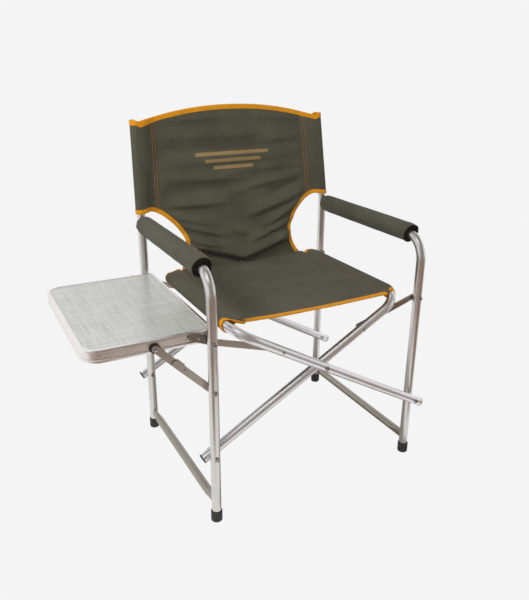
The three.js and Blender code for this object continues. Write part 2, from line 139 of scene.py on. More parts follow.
# ---- node materials ----
class Nodes:
    """Short ways to make and join shader nodes in one material."""

    def __init__(self, name):
        self.material = bpy.data.materials.new(name)
        self.material.use_nodes = True
        self.tree = self.material.node_tree
        self.shader = self.tree.nodes["Principled BSDF"]

    def add(self, kind, inputs=None, **settings):
        node = self.tree.nodes.new("ShaderNode" + kind)
        for key, value in settings.items():
            setattr(node, key, value)
        for key, value in (inputs or {}).items():
            self.put(node, key, value)
        return node

    def put(self, node, key, value):
        socket = node.inputs[key]
        if isinstance(value, bpy.types.NodeSocket):
            self.tree.links.new(value, socket)
        else:
            socket.default_value = value

    def set(self, **inputs):
        for key, value in inputs.items():
            self.put(self.shader, key.replace("_", " "), value)

    def math(self, operation, a, b=0.0):
        return self.add("Math", {0: a, 1: b}, operation=operation).outputs[0]

    def noise(self, vector, scale, detail=3.0, roughness=0.5):
        inputs = {"Vector": vector, "Scale": scale, "Detail": detail, "Roughness": roughness}
        return self.add("TexNoise", inputs).outputs["Fac"]

    def stretch(self, vector, x, y, z):
        return self.add("Mapping", {"Vector": vector, "Scale": (x, y, z)}).outputs[0]

    def ramp(self, fac, *stops):
        node = self.add("ValToRGB", {"Fac": fac})
        elements = node.color_ramp.elements
        while len(elements) < len(stops):
            elements.new(0.5)
        for element, (position, colour) in zip(elements, stops):
            element.position = position
            element.color = colour
        return node.outputs["Color"]

    def bump(self, height, distance, strength=1.0, normal=None):
        inputs = {"Height": height, "Distance": distance, "Strength": strength}
        if normal is not None:
            inputs["Normal"] = normal
        return self.add("Bump", inputs).outputs[0]

    def uv(self):
        return self.add("TexCoord").outputs["UV"]

    def object(self):
        return self.add("TexCoord").outputs["Object"]


def grey(level):
    return (level, level, level, 1)


def canvas(name, dark, light):
    """Plain-woven canvas: crossing threads, a mottled dye and a soft sheen."""
    pitch = 0.0011
    n = Nodes(name)
    uv = n.uv()
    parts = n.add("SeparateXYZ", {"Vector": uv})
    waves = [n.math("SINE", n.math("MULTIPLY", parts.outputs[i], math.pi / pitch)) for i in (0, 1)]
    weave = n.math("MULTIPLY", *waves)
    warp = n.noise(n.stretch(uv, 900, 25, 1), 1.0, 2)
    weft = n.noise(n.stretch(uv, 25, 900, 1), 1.0, 2)
    mottle = n.noise(n.object(), 14, 4)
    threads = n.math("ADD", n.math("MULTIPLY", warp, 0.5), n.math("MULTIPLY", weft, 0.5))
    tone = n.math("ADD", n.math("MULTIPLY", threads, 0.6), n.math("MULTIPLY", mottle, 0.4))
    tone = n.math("ADD", tone, n.math("MULTIPLY", weave, 0.035))
    colour = n.ramp(tone, (0.3, srgb(dark)), (0.7, srgb(light)))
    fine = n.bump(weave, 0.00022, 0.8)
    n.set(Base_Color=colour, Roughness=0.92, Sheen_Weight=0.08, Sheen_Roughness=0.4)
    n.set(Normal=n.bump(threads, 0.0004, 0.5, fine))
    n.set(Specular_IOR_Level=0.12)
    return n.material


def tape(name, dark, light):
    """Ribbed binding tape."""
    n = Nodes(name)
    uv = n.uv()
    along = n.add("SeparateXYZ", {"Vector": uv}).outputs[1]
    ribs = n.math("SINE", n.math("MULTIPLY", along, 2 * math.pi / 0.0011))
    mottle = n.noise(n.stretch(uv, 120, 500, 1), 1.0, 3)
    n.set(Base_Color=n.ramp(mottle, (0.3, srgb(dark)), (0.7, srgb(light))), Roughness=0.75)
    n.set(Normal=n.bump(ribs, 0.0002, 0.7), Sheen_Weight=0.05, Specular_IOR_Level=0.1)
    return n.material


def drawn_metal(name, colour, roughness, lines=0.000012):
    """Aluminium with faint lines along its length and small smudges."""
    n = Nodes(name)
    uv = n.uv()
    streaks = n.noise(n.stretch(uv, 900, 4, 1), 1.0, 2)
    smudge = n.noise(n.object(), 30, 4)
    rough = n.math("ADD", n.math("MULTIPLY", smudge, 0.16), roughness - 0.08)
    tint = n.ramp(smudge, (0.3, [0.93 * c for c in srgb(colour)[:3]] + [1]), (0.7, srgb(colour)))
    n.set(Base_Color=tint, Metallic=1.0, Roughness=rough, Normal=n.bump(streaks, lines, 0.5))
    return n.material


def plain(name, colour, roughness, metallic=0.0, grain=400, depth=0.00005):
    """A moulded, cast or coated surface with fine grain and slight patches."""
    n = Nodes(name)
    place = n.object()
    patches = n.noise(place, 35, 4)
    base = srgb(colour)
    tint = n.ramp(patches, (0.3, [0.85 * c for c in base[:3]] + [1]), (0.7, base))
    rough = n.math("ADD", n.math("MULTIPLY", patches, 0.14), roughness - 0.07)
    n.set(Base_Color=tint, Metallic=metallic, Roughness=rough)
    n.set(Normal=n.bump(n.noise(place, grain, 3), depth, 0.7))
    return n.material


def laminate(name):
    """Light grey table laminate printed with a fine crossed linen weave."""
    n = Nodes(name)
    place = n.object()
    fine_x = n.noise(n.stretch(place, 620, 14, 1), 1.0, 1)
    fine_y = n.noise(n.stretch(place, 14, 620, 1), 1.0, 1)
    broad_x = n.noise(n.stretch(place, 130, 5, 1), 1.0, 2)
    broad_y = n.noise(n.stretch(place, 5, 130, 1), 1.0, 2)
    lines = n.math("ADD", n.math("MULTIPLY", fine_x, 0.38), n.math("MULTIPLY", fine_y, 0.38))
    broad = n.math("ADD", n.math("MULTIPLY", broad_x, 0.12), n.math("MULTIPLY", broad_y, 0.12))
    tone = n.math("ADD", lines, broad)
    colour = n.ramp(tone, (0.36, srgb("#aaaba6")), (0.5, srgb("#c3c4bf")), (0.64, srgb("#d6d7d2")))
    n.set(Base_Color=colour, Roughness=n.math("ADD", n.math("MULTIPLY", lines, 0.2), 0.25))
    n.set(Normal=n.bump(lines, 0.0001, 0.5), Coat_Weight=0.35, Coat_Roughness=0.16)
    return n.material


def foam(name):
    """Dark open-cell foam."""
    n = Nodes(name)
    cells = n.add("TexVoronoi", {"Vector": n.object(), "Scale": 700.0}).outputs["Distance"]
    n.set(Base_Color=n.ramp(cells, (0.1, srgb("#0c0b0a")), (0.7, srgb("#25221e"))), Roughness=1.0)
    n.set(Normal=n.bump(cells, 0.0006, 1.0))
    return n.material


CANVAS = canvas("canvas", "#4c4a3d", "#666353")
PAD_CANVAS = canvas("pad_canvas", "#4c4b3f", "#656356")
BINDING = tape("binding", "#e28e11", "#f7a920")
THREAD = tape("thread", "#a8682c", "#c98a48")
FRAY = tape("fray", "#1f1c16", "#574a36")
ALUMINIUM = drawn_metal("aluminium", "#dddbd8", 0.3)
# The seat tubes are the same aluminium as the rest; this copy is lighter and rougher, painted brightness
# standing in for light on them.
CROSS_METAL = drawn_metal("cross_metal", "#f0eff2", 0.36, 0.000002)
RAIL_METAL = drawn_metal("rail_metal", "#a9a399", 0.42)
BAR_METAL = drawn_metal("bar_metal", "#b5aea2", 0.32)
TRIM_METAL = drawn_metal("trim_metal", "#f7f3f0", 0.28)
SCREW = plain("screw", "#b4b2b0", 0.16, 1.0)
DARK_STEEL = plain("dark_steel", "#938b81", 0.36, 1.0)
BLACK_PLASTIC = plain("black_plastic", "#191817", 0.45)
RUBBER = plain("rubber", "#32312c", 0.7, 0.0, 900, 0.0001)
LAMINATE = laminate("laminate")
FOAM = foam("foam")
PRINT = canvas("print", "#93784f", "#a88d60")


# ---- mesh helpers ----
def make(name, points, faces, material, uvs=None):
    """A mesh object. uvs holds one pair for each point, in metres."""
    mesh = bpy.data.meshes.new(name)
    mesh.from_pydata([tuple(p) for p in points], [], faces)
    mesh.materials.append(material)
    mesh.validate()
    if uvs:
        layer = mesh.uv_layers.new(name="UVMap")
        for loop in mesh.loops:
            layer.data[loop.index].uv = uvs[loop.vertex_index]
    mesh.polygons.foreach_set("use_smooth", [True] * len(mesh.polygons))
    piece = bpy.data.objects.new(name, mesh)
    bpy.context.scene.collection.objects.link(piece)
    return piece


def ring_faces(rings, size, closed=False):
    """The quads between neighbouring rings of points, with size points in each ring."""
    faces = []
    for i in range(rings if closed else rings - 1):
        k = (i + 1) % rings
        for j in range(size):
            m = (j + 1) % size
            faces.append((i * size + j, i * size + m, k * size + m, k * size + j))
    return faces


def end_caps(rings, size):
    return [tuple(range(size))[::-1], tuple(range((rings - 1) * size, rings * size))]


def lengths_along(points):
    """How far each point is along the line through all of them."""
    lengths = [0.0]
    for before, after in zip(points, points[1:]):
        lengths.append(lengths[-1] + (after - before).length)
    return lengths


def thicken(piece, thickness=0.0011, rim=True):
    """Gives a sheet of cloth its thickness, to both sides."""
    modifier = piece.modifiers.new("solidify", "SOLIDIFY")
    modifier.thickness = thickness
    modifier.offset = 0
    modifier.use_rim = rim


def finish_piece(piece, body, slot, *replaced):
    """The lines every rigid piece needs."""
    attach(piece, body)
    if replaced:
        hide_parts(*replaced)


def bent_path(corners, radius, steps=10, spacing=0.05):
    """Points along straight stretches joined by round bends."""
    points = [corners[0]]
    for before, corner, after in zip(corners, corners[1:], corners[2:]):
        into = (corner - before).normalized()
        out = (after - corner).normalized()
        turn = into.angle(out)
        inward = (out - into * math.cos(turn)).normalized()
        start = corner - into * radius * math.tan(turn / 2)
        for i in range(steps + 1):
            angle = turn * i / steps
            points.append(start + into * radius * math.sin(angle) + inward * radius * (1 - math.cos(angle)))
    points.append(corners[-1])
    filled = [points[0]]
    for point in points[1:]:
        gap = point - filled[-1]
        parts = max(1, math.ceil(gap.length / spacing))
        last = filled[-1]
        if gap.length > 1e-6:
            filled += [last + gap * (i + 1) / parts for i in range(parts)]
    return filled


def travel_frames(points, up=None):
    """A tangent and two cross axes at each point, turning as little as they can or held to up."""
    frames = []
    side = None
    for i in range(len(points)):
        after = points[min(i + 1, len(points) - 1)]
        before = points[max(i - 1, 0)]
        tangent = (after - before).normalized()
        if up is not None:
            side = tangent.cross(up).normalized()
        elif side is None:
            side = tangent.orthogonal().normalized()
        else:
            side = (side - tangent * side.dot(tangent)).normalized()
        frames.append((tangent, side, side.cross(tangent).normalized()))
    return frames


def sweep(name, points, section, material, up=None):
    """Draws a section along points. section(i) gives pairs along the side axis and the other one."""
    frames = travel_frames(points, up)
    rings = []
    uvs = []
    for i, along in enumerate(lengths_along(points)):
        _, side, other = frames[i]
        pairs = section(i)
        around = 0.0
        for j, (a, b) in enumerate(pairs):
            if j:
                around += math.dist(pairs[j], pairs[j - 1])
            rings.append(points[i] + side * a + other * b)
            uvs.append((around, along))
    size = len(section(0))
    faces = ring_faces(len(points), size) + end_caps(len(points), size)
    piece = make(name, rings, faces, material, uvs)
    bpy.context.view_layer.update()
    return outward(piece)


def outward(piece):
    """Turns the faces outwards and keeps hard edges where a section or a cap has them."""
    work = bmesh.new()
    work.from_mesh(piece.data)
    bmesh.ops.recalc_face_normals(work, faces=work.faces)
    work.to_mesh(piece.data)
    work.free()
    piece.data.set_sharp_from_angle(angle=math.radians(50))
    return piece


def disc(radius, count=32):
    """The corners of a round section."""
    return [
        (radius * math.cos(2 * math.pi * j / count), radius * math.sin(2 * math.pi * j / count))
        for j in range(count)
    ]


def tube(name, corners, material, radius=TUBE_R, bend=BEND_R):
    ring = disc(radius / 1000)
    return sweep(name, bent_path(corners, bend / 1000), lambda i: ring, material)


def turned(name, profile, material, place, axis, count=28):
    """A lathe piece. profile holds radius and height pairs in mm, along axis from place."""
    turn = UP.rotation_difference(axis)
    points = []
    for radius, height in profile:
        for j in range(count):
            angle = 2 * math.pi * j / count
            local = Vector((radius * math.cos(angle), radius * math.sin(angle), height)) / 1000
            points.append(place + turn @ local)
    faces = ring_faces(len(profile), count) + end_caps(len(profile), count)
    return outward(make(name, points, faces, material))


def grid(name, place, columns, rows, material, size):
    """A sheet through place(u, v), u and v from 0 to 1. size is its width and height for the weave, in m."""
    points = []
    uvs = []
    for i in range(columns + 1):
        for j in range(rows + 1):
            u, v = i / columns, j / rows
            points.append(place(u, v))
            uvs.append((u * size[0], v * size[1]))
    faces = []
    for i in range(columns):
        for j in range(rows):
            a = i * (rows + 1) + j
            faces.append((a, a + rows + 1, a + rows + 2, a + 1))
    return make(name, points, faces, material, uvs)


# ---- metal ----
def above_bend(height):
    """How far a height is up the leaning stretch of a rear post, from 0 at its bend to 1 at its top."""
    return max(0, height - POST_BEND_Z) / (POST_TOP_Z - POST_BEND_Z)


def post_point(side, height):
    """The middle of a rear post at a height: it leans back and inwards above its bend."""
    way, layer = FRAMES[side]
    share = above_bend(height)
    return mm(way * (HALF_WIDTH - POST_INWARD * share), layer + HALF_DEPTH + POST_LEAN * share, height)


def add_side_frame(side):
    """The arm tube, the rear post, the lower rail and the two feet."""
    way, layer = FRAMES[side]
    body = side + "_frame"
    x = way * HALF_WIDTH
    front, rear = layer - HALF_DEPTH, layer + HALF_DEPTH
    arm = [mm(x, front, LEG_BOTTOM), mm(x, front, ARM_Z), mm(x, rear - TUBE_R + 1, ARM_Z)]
    finish_piece(tube(side + "_arm_tubing", arm, ALUMINIUM), body, "aluminium", side + "_arm_tube")
    post = [mm(x, rear, LEG_BOTTOM), mm(x, rear, POST_BEND_Z), post_point(side, POST_TOP_Z)]
    piece = tube(side + "_post_tubing", post, ALUMINIUM, bend=150)
    finish_piece(piece, body, "aluminium", side + "_rear_post")
    add_rail(side, x, layer)
    for end, toward in ENDS.items():
        foot_node = f"{side}_{end}_foot"
        bottom = mm(x, layer + toward * HALF_DEPTH, 0)
        profile = [(0.5, 0), (11.5, 0), (13, 1.5), (13.2, 8), (12.9, 9), (13.2, 10), (13.1, 26.5)]
        profile += [(12.6, 27.8), (11.4, 28), (11.3, 20)]
        piece = turned(foot_node + "_cap", profile, RUBBER, bottom, UP, 36)
        finish_piece(piece, body, "rubber", foot_node)


def add_rail(side, x, layer):
    """The lower rail is round in the middle and pressed flat where it meets the legs."""
    half = HALF_DEPTH - TUBE_R + 0.7
    stations = [(-half, 1), (-half + 16, 1), (-half + 24, 0.75), (-half + 34, 0.2), (-half + 42, 0)]
    stations += [(-y, flat) for y, flat in reversed(stations)]
    points = [mm(x, layer + y, RAIL_Z) for y, _ in stations]

    def section(i):
        flat = stations[i][1]
        wide, high = RAIL_R - 4.5 * flat, RAIL_R + 2.5 * flat
        return [(a * wide / 1000, b * high / 1000) for a, b in disc(1)]

    piece = sweep(side + "_rail", points, section, RAIL_METAL, up=UP)
    finish_piece(piece, side + "_frame", "rail_metal", side + "_lower_rail")


def add_rivet(name, place, axis, body, radius=4.2):
    """A domed rivet head standing on place."""
    steps = 6
    profile = [(radius, -0.6)]
    for i in range(steps + 1):
        angle = math.pi / 2 * i / steps
        profile.append((max(radius * math.cos(angle), 0.05), radius * 0.55 * math.sin(angle)))
    finish_piece(turned(name, profile, SCREW, place, axis, 20), body, "screw_steel")


def add_screw(name, node, place, axis, body):
    """A pan-head screw in place of a plain pin, with its shank inside and a nut or a tail at the far end."""
    low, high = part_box(node)
    length = (high.y - low.y) * 1000
    head = [(3, 0.5), (6, 0.6), (6.2, 1.4), (5.6, 2.5), (4.2, 3.3), (2.0, 3.7), (1.9, 2.6), (0.1, 2.4)]
    inner = length - 3
    nut = [(0.1, -inner), (4.6, -inner), (5.4, -inner + 1), (5.6, -inner + 2.6), (3, -inner + 2.7)]
    if "table_pin" in name or "leg_pin" in name:
        nut = [(0.1, -inner + 0.2), (4, -inner + 0.3), (5, -inner + 1.4), (3, -inner + 1.5)]
    if "left" in name and "link" in name:
        nut = [(0.1, -inner), (3, -inner)]
    finish_piece(turned(name, nut + head, SCREW, place, axis), body, "screw_steel", node)


def cross_place(side, reach, y):
    """A point on a crossed tube: reach is measured from the crossing towards the seat."""
    way, layer = FRAMES[side]
    return mm(way * reach * math.cos(CROSS_ANGLE), layer + y, CROSS_Z + reach * math.sin(CROSS_ANGLE))


def add_cross_tube(side):
    """A flat U tube with its end plugs and the rivets of its links."""
    body = side + "_cross"
    low = -(CROSS_HALF + CROSS_END)
    corners = [cross_place(side, low, -HALF_DEPTH), cross_place(side, SEAT_REACH, -HALF_DEPTH)]
    corners += [cross_place(side, SEAT_REACH, HALF_DEPTH), cross_place(side, low, HALF_DEPTH)]
    # The seat tubes take the lighter aluminium copy, with its painted brightness.
    piece = tube(side + "_seat_tubing", corners, CROSS_METAL)
    finish_piece(piece, body, "aluminium", side + "_seat_tube")
    outwards = (cross_place(side, -1, 0) - cross_place(side, 0, 0)).normalized()
    for end, toward in ENDS.items():
        place = cross_place(side, low, toward * HALF_DEPTH)
        profile = [(8.6, -3), (11.1, -1), (11.1, 1.2), (10.4, 2.2), (8, 2.5), (0.1, 2.3)]
        name = f"{side}_seat_tube_{end}_plug"
        cap = turned(name + "_cap", profile, BLACK_PLASTIC, place, outwards)
        finish_piece(cap, body, "black_plastic", name)
        face = cross_place(side, LINK_REACH, toward * (HALF_DEPTH + TUBE_R))
        add_rivet(f"{side}_{end}_link_rivet", face, Vector((0, toward, 0)), body)
        inner = cross_place(side, LINK_REACH, toward * (HALF_DEPTH - 15.3))
        add_rivet(f"{side}_{end}_link_rivet_tail", inner, Vector((0, -toward, 0)), body, 3.6)


def add_screws():
    """The pivots, the link screws and the pins of the table's braces."""
    stack = HALF_DEPTH + LAYER / 2 + TUBE_R
    for end, toward in ENDS.items():
        axis = Vector((0, toward, 0))
        outside = toward * (HALF_DEPTH + TUBE_R)
        for side, (way, layer) in FRAMES.items():
            x = way * HALF_WIDTH
            body = side + "_frame"
            name = f"{side}_{end}_lower_pivot"
            add_screw(name + "_screw", name, mm(x, toward * stack, PIVOT_Z), axis, body)
            name = f"{side}_{end}_link_screw"
            add_screw(name + "_head", name, mm(x, layer + outside, LINK_LEG_Z), axis, body)
        name = end + "_crossing_pivot"
        add_screw(name + "_screw", name, mm(0, toward * stack, CROSS_Z), axis, "right_cross")
        layer = FRAMES["left"][1]
        place = mm(-HALF_WIDTH, layer + outside, BRACE_LEG_Z)
        add_screw(end + "_leg_pin_screw", end + "_brace_leg_pin", place, axis, "left_frame")
        tail = mm(BRACE_TABLE[0], layer + toward * 209.6, BRACE_TABLE[1])
        add_screw(end + "_table_pin_screw", end + "_brace_table_pin", tail, axis, "table")


# ---- side table ----
def table_path(inset, height, corner_steps=8):
    """The table's outline from above, anticlockwise, with its two outer corners round."""
    (x0, x1), y1 = TABLE_X, TABLE_HALF_DEPTH
    layer = FRAMES["left"][1]
    radius = TABLE_CORNER_R
    points = [(x1 - inset, -y1 + inset), (x1 - inset, y1 - inset)]
    for cx, cy, first in ((x0 + radius, y1 - radius, 90), (x0 + radius, -y1 + radius, 180)):
        for i in range(corner_steps + 1):
            angle = math.radians(first + 90 * i / corner_steps)
            points.append((cx + (radius - inset) * math.cos(angle), cy + (radius - inset) * math.sin(angle)))
    return [mm(x, layer + y, height) for x, y in points]


def add_table_trim():
    """The edge extrusion, from its inner lip over the board to its lip under it, with ribs outside."""
    low, high = TABLE_Z
    outline = [(7.0, high - 0.3), (6.8, high + 0.9), (5.8, high + 1.2), (2.4, high + 1.2), (0.8, high + 0.4)]
    outline += [(0.0, high - 1.2), (0.0, high - 4.8), (0.5, high - 5.6), (1.6, high - 6.0)]
    grooves = 4
    step = (high - low - 13.2) / grooves
    for i in range(grooves):
        z = high - 6.2 - i * step
        outline += [(1.2, z - 0.12 * step), (1.2, z - 0.72 * step)]
        outline += [(2.1, z - 0.8 * step), (2.1, z - 0.97 * step)]
    outline += [(1.0, low + 6.8), (-0.4, low + 6.2), (-1.1, low + 5.0), (-1.1, low + 1.8)]
    outline += [(-0.4, low + 0.4), (0.6, low), (10, low), (10, low + 2)]
    outline += [(3.4, low + 2.2), (3.2, high - 6), (4.6, high - 6)]
    rings = [table_path(inset, z) for inset, z in outline]
    count = len(rings[0])
    points = [ring[i] for i in range(count) for ring in rings]
    uvs = [(0.002 * j, along) for along in lengths_along(rings[0]) for j in range(len(rings))]
    faces = ring_faces(count, len(rings), closed=True)
    piece = outward(make("table_edge", points, faces, TRIM_METAL, uvs))
    piece.data.set_sharp_from_angle(angle=math.radians(28))
    finish_piece(piece, "table", "trim_metal", "table_trim")


def add_table_fittings(end, toward):
    """The bracket's rivet, and the knee's rivet and stop."""
    layer = FRAMES["left"][1]
    axis = Vector((0, toward, 0))
    add_rivet(end + "_bracket_rivet", mm(-303, layer + toward * 208.1, 455.5), axis, "table", 3.6)
    pin_x, pin_z = BRACE_TABLE
    knee = mm((pin_x - HALF_WIDTH) / 2, layer + toward * 212.7, (pin_z + BRACE_LEG_Z) / 2)
    add_rivet(end + "_knee_rivet", knee, axis, "lower_braces", 3.8)
    along = Vector((pin_x + HALF_WIDTH, 0, pin_z - BRACE_LEG_Z)).normalized()
    upper_edge = Vector((along.z, 0, -along.x))
    start = Vector((knee.x, mm(0, layer + toward * 210.3, 0).y, knee.z)) + upper_edge * 0.0092 + along * 0.008
    stop = start + along * 0.022
    deep, thick = 0.0019, 0.0009
    ring = [(deep, thick), (-deep, thick), (-deep, -thick), (deep, -thick)]
    lip = sweep(end + "_knee_stop", [start, stop], lambda i: ring, BAR_METAL, up=upper_edge)
    finish_piece(lip, "lower_braces", "aluminium")


# ---- canvas ----
FABRIC_R = 12.8  # of the middle of the cloth round a tube
FLAP = 53  # tube to the seam of a back sleeve
PANEL_HALF = HALF_WIDTH - FLAP
CUT_CENTRE = (255, 535)  # of the hollow in the cloth beside the sitter, in x and z
CUT_SIZE = (92, 93)
CUT_POWER = 1.45  # how square its upper corner is
BACK_TOP_Z = 845  # of the back's cloth at its sides
SEAT_FRONT = -208
BINDING_LIFT = Vector((0, 0, 0.0008))  # how far tape stands over the top edges that it covers


def crumple(piece):
    """Gives a piece of back cloth its own copy of its mesh."""
    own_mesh(piece)


def smooth(low, high, value):
    """A soft step from 0 at low to 1 at high."""
    share = max(0, min(1, (value - low) / (high - low)))
    return share * share * (3 - 2 * share)


def back_top(x):
    """Height of the arched top edge at x. Its outer corners turn up in a small tip."""
    across = min(1, abs(x) / (HALF_WIDTH - POST_INWARD))
    return BACK_TOP_Z + 36 * (1 - across**2.1) + 6 * smooth(268, 284, abs(x))


def cut_half(z):
    """Half width of the cloth at a height beside the hollow."""
    (cx, cz), (wide, high) = CUT_CENTRE, CUT_SIZE
    power = CUT_POWER if z > cz else 2.3
    share = min(1, abs(z - cz) / high)
    return cx - wide * (1 - share**power) ** (1 / power)


def cut_top(x):
    """Height of the hollow's upper edge at a distance from the middle."""
    (cx, cz), (wide, high) = CUT_CENTRE, CUT_SIZE
    share = max(0, min(1, (cx - x) / wide))
    return cz + high * (1 - share**CUT_POWER) ** (1 / CUT_POWER) - 3 * smooth(cx, 290, x)


def ridge(x, z, start, end, width, height):
    """A soft fold along a line on the back, in mm. It is steeper on its lower side."""
    run = Vector((end[0] - start[0], end[1] - start[1]))
    to = Vector((x - start[0], z - start[1]))
    along = to.dot(run) / run.length_squared
    share = max(0, min(1, along))
    apart = to - run * share
    away = apart.length / width
    if apart.y < 0:
        away *= 1.5
    return height * math.exp(-away * away) * math.sin(math.pi * (0.1 + 0.8 * share))


# Start, end, width and height of each fold, in mm. A negative height is a hollow.
BACK_FOLDS = [
    ((-215, 842), (-20, 852), 11, 2.4),
    ((225, 836), (60, 852), 11, 3.0),
    ((-222, 806), (190, 800), 18, 4.6),
    ((222, 790), (60, 782), 12, 4.0),
    ((-222, 772), (60, 760), 16, -4.6),
    ((-222, 738), (215, 742), 18, 4.4),
    ((222, 716), (-60, 706), 15, 4.8),
    ((-222, 700), (40, 690), 16, 5.2),
    ((-222, 664), (90, 664), 18, -4.6),
    ((224, 690), (-30, 652), 15, 6.0),
    ((-222, 636), (-30, 628), 15, 6.4),
    ((228, 640), (30, 588), 16, 9.0),
    ((222, 668), (110, 636), 12, -5.0),
    ((196, 606), (70, 552), 12, 8.5),
    ((-212, 612), (-70, 572), 14, 7.5),
    ((-186, 586), (-40, 540), 12, 7.0),
    ((170, 566), (30, 520), 11, 8.0),
    ((-168, 548), (-60, 516), 10, 5.6),
    ((164, 532), (96, 508), 9, 5.0),
    ((-40, 560), (30, 536), 14, 5.0),
    ((60, 560), (120, 512), 10, -5.0),
]


def fold_line(x):
    """Height at which the lower back doubles over above the seat: low in the middle, higher at the sides."""
    low_x = -6
    rise, power = (31, 1.25) if x > low_x else (40, 0.9)
    return 468 + rise * min(1, abs(x - low_x) / 124) ** power


def back_depth(x, z):
    """Depth of the back's cloth. Below its hinge it runs forwards, swells and doubles over at the seat."""
    base = HALF_DEPTH + (LAYER / 2) * (x / HALF_WIDTH) + 6 * smooth(SPLIT_Z - 50, SPLIT_Z + 20, z)
    lean = POST_LEAN * above_bend(z)
    across = max(0, 1 - (x / PANEL_HALF) ** 2)
    hollow = 6 * across * math.sin(math.pi * min(1, max(0, (z - 590) / 262)))
    folds = (1 + 0.5 * smooth(720, 620, z)) * sum(ridge(x, z, *fold) for fold in BACK_FOLDS)
    fade = smooth(PANEL_HALF + 2, PANEL_HALF - 34, abs(x))
    y = base + lean + hollow - folds * fade
    if z < SPLIT_Z:
        share = (SPLIT_Z - z) / (SPLIT_Z - SEAT_Z + 2)
        sides = smooth(168, 120, abs(x))
        above = z - fold_line(x)
        swell = 21 * (above / 16) * math.exp(1 - above / 16) if above > 0 else 0
        tuck = 10 * math.exp(-((above / 7) ** 2))
        y -= 27 * share**1.4 + sides * (swell - tuck)
    return y


def seat_drop(x, y):
    """How far the seat's cloth sags under its seams."""
    across = max(0, 1 - (x / STITCH_X) ** 2)
    ends = 0.72 + 0.28 * math.sin(math.pi * min(1, max(0, (y + 206) / 400)))
    place = Vector((x * 0.0035, y * 0.02 + x * 0.004, 3))
    ripples = (1.4 * noise.noise(place) + 0.7 * noise.noise(place * 2.3)) * across
    return 8.6 * across * ends + ripples


def low_edge(x):
    """Depth at which the lower back meets the seat."""
    return HALF_DEPTH - 27 + (LAYER / 2) * (x / HALF_WIDTH)


def panel_point(u, v):
    """A point of the back between the seams of its sleeves."""
    half = min(PANEL_HALF + 8, cut_half(SPLIT_Z + (BACK_TOP_Z - SPLIT_Z) * v))
    x = (2 * u - 1) * half
    z = SPLIT_Z + (back_top(x) - SPLIT_Z) * v
    under = 1.3 * smooth(PANEL_HALF - 3, PANEL_HALF + 1, abs(x))
    x *= (HALF_WIDTH - POST_INWARD * above_bend(z)) / HALF_WIDTH
    return mm(x, back_depth(x, z) + under, z)


def sleeve_section(u):
    """A back sleeve's section in mm about its post, outwards and rearwards, from seam to seam."""
    tangent = math.acos(FABRIC_R / FLAP)
    flat = math.sqrt(FLAP**2 - FABRIC_R**2)
    arc = FABRIC_R * 2 * (math.pi - tangent)
    along = u * (2 * flat + arc)
    touch = (-FABRIC_R * math.cos(tangent), FABRIC_R * math.sin(tangent))
    if flat < along < flat + arc:
        angle = -(math.pi - tangent) + (along - flat) / FABRIC_R
        return FABRIC_R * math.cos(angle), FABRIC_R * math.sin(angle)
    front = along <= flat
    share = along / flat if front else (2 * flat + arc - along) / flat
    out = -FLAP + (touch[0] + FLAP) * share
    back = touch[1] * share + 1.1 * math.sin(math.pi * share)
    return out, (-back if front else back + 1.2 * (1 - share))


def sleeve_wall(side):
    """A point on a back sleeve: u round it from its front seam, v up it."""
    way, layer = FRAMES[side]

    def place(u, v):
        out, back = sleeve_section(u)
        far = HALF_WIDTH + out
        low = cut_top(far)
        z = low + (back_top(far) - low) * v
        inward = POST_INWARD * above_bend(z)
        centre = HALF_DEPTH + layer + POST_LEAN * above_bend(z)
        seam = back_depth(way * PANEL_HALF, z)
        ease = smooth(-FABRIC_R, -FLAP, out)
        if u < 0.4 and out < -FABRIC_R:
            share = (out + FLAP) / (FLAP - FABRIC_R)
            back += 6 * math.sin(math.pi * max(0, share)) * smooth(760, 650, z)
        wave = 0.9 * noise.noise(Vector((out * 0.05, z * 0.03, 7 + way))) * (0.3 + ease)
        y = (centre + back) * (1 - ease) + (seam + back) * ease
        return mm(way * (far - inward), y + wave, z)

    return place


def add_back_sleeve(side):
    """A sleeve round a rear post, bound at its top and bottom, with a double seam."""
    way = FRAMES[side][0]
    wall = sleeve_wall(side)
    piece = grid(side + "_back_wrap", wall, 60, 64, CANVAS, (0.15, 0.24))
    thicken(piece, 0.001)
    finish_piece(piece, side + "_frame", "canvas", side + "_back_sleeve")
    follow = rides(side + "_frame")
    top = lambda t: wall(t, 1) + BINDING_LIFT
    binding(side + "_sleeve_top_binding", top, 70, between(top, lambda t: wall(t, 0.95)), follow)

    def low_inside(t):
        return wall(t, 0.045) + Vector((-way * 0.008 * smooth(0.22, 0, t), 0, 0))

    low = lambda t: wall(t, 0)
    binding(side + "_sleeve_low_binding", low, 70, between(low, low_inside), follow, 10.5)
    for row, along in enumerate((0.012, 0.07)):
        place = lambda t, along=along: wall(along, 0.045 + 0.91 * t) + Vector((0, -0.0005, 0))
        stitches(f"{side}_back_stitches_{row + 1}", place, 0.225, follow)


def lower_back_point(u, v):
    """A point of the waisted cloth between the back and the seat."""
    across = 2 * u - 1
    foot = SEAT_Z - seat_drop(across * 178, 190) + 0.4
    z = foot + (SPLIT_Z - foot) * v
    x = across * cut_half(max(z, 466))
    return mm(x, back_depth(x, z), z)


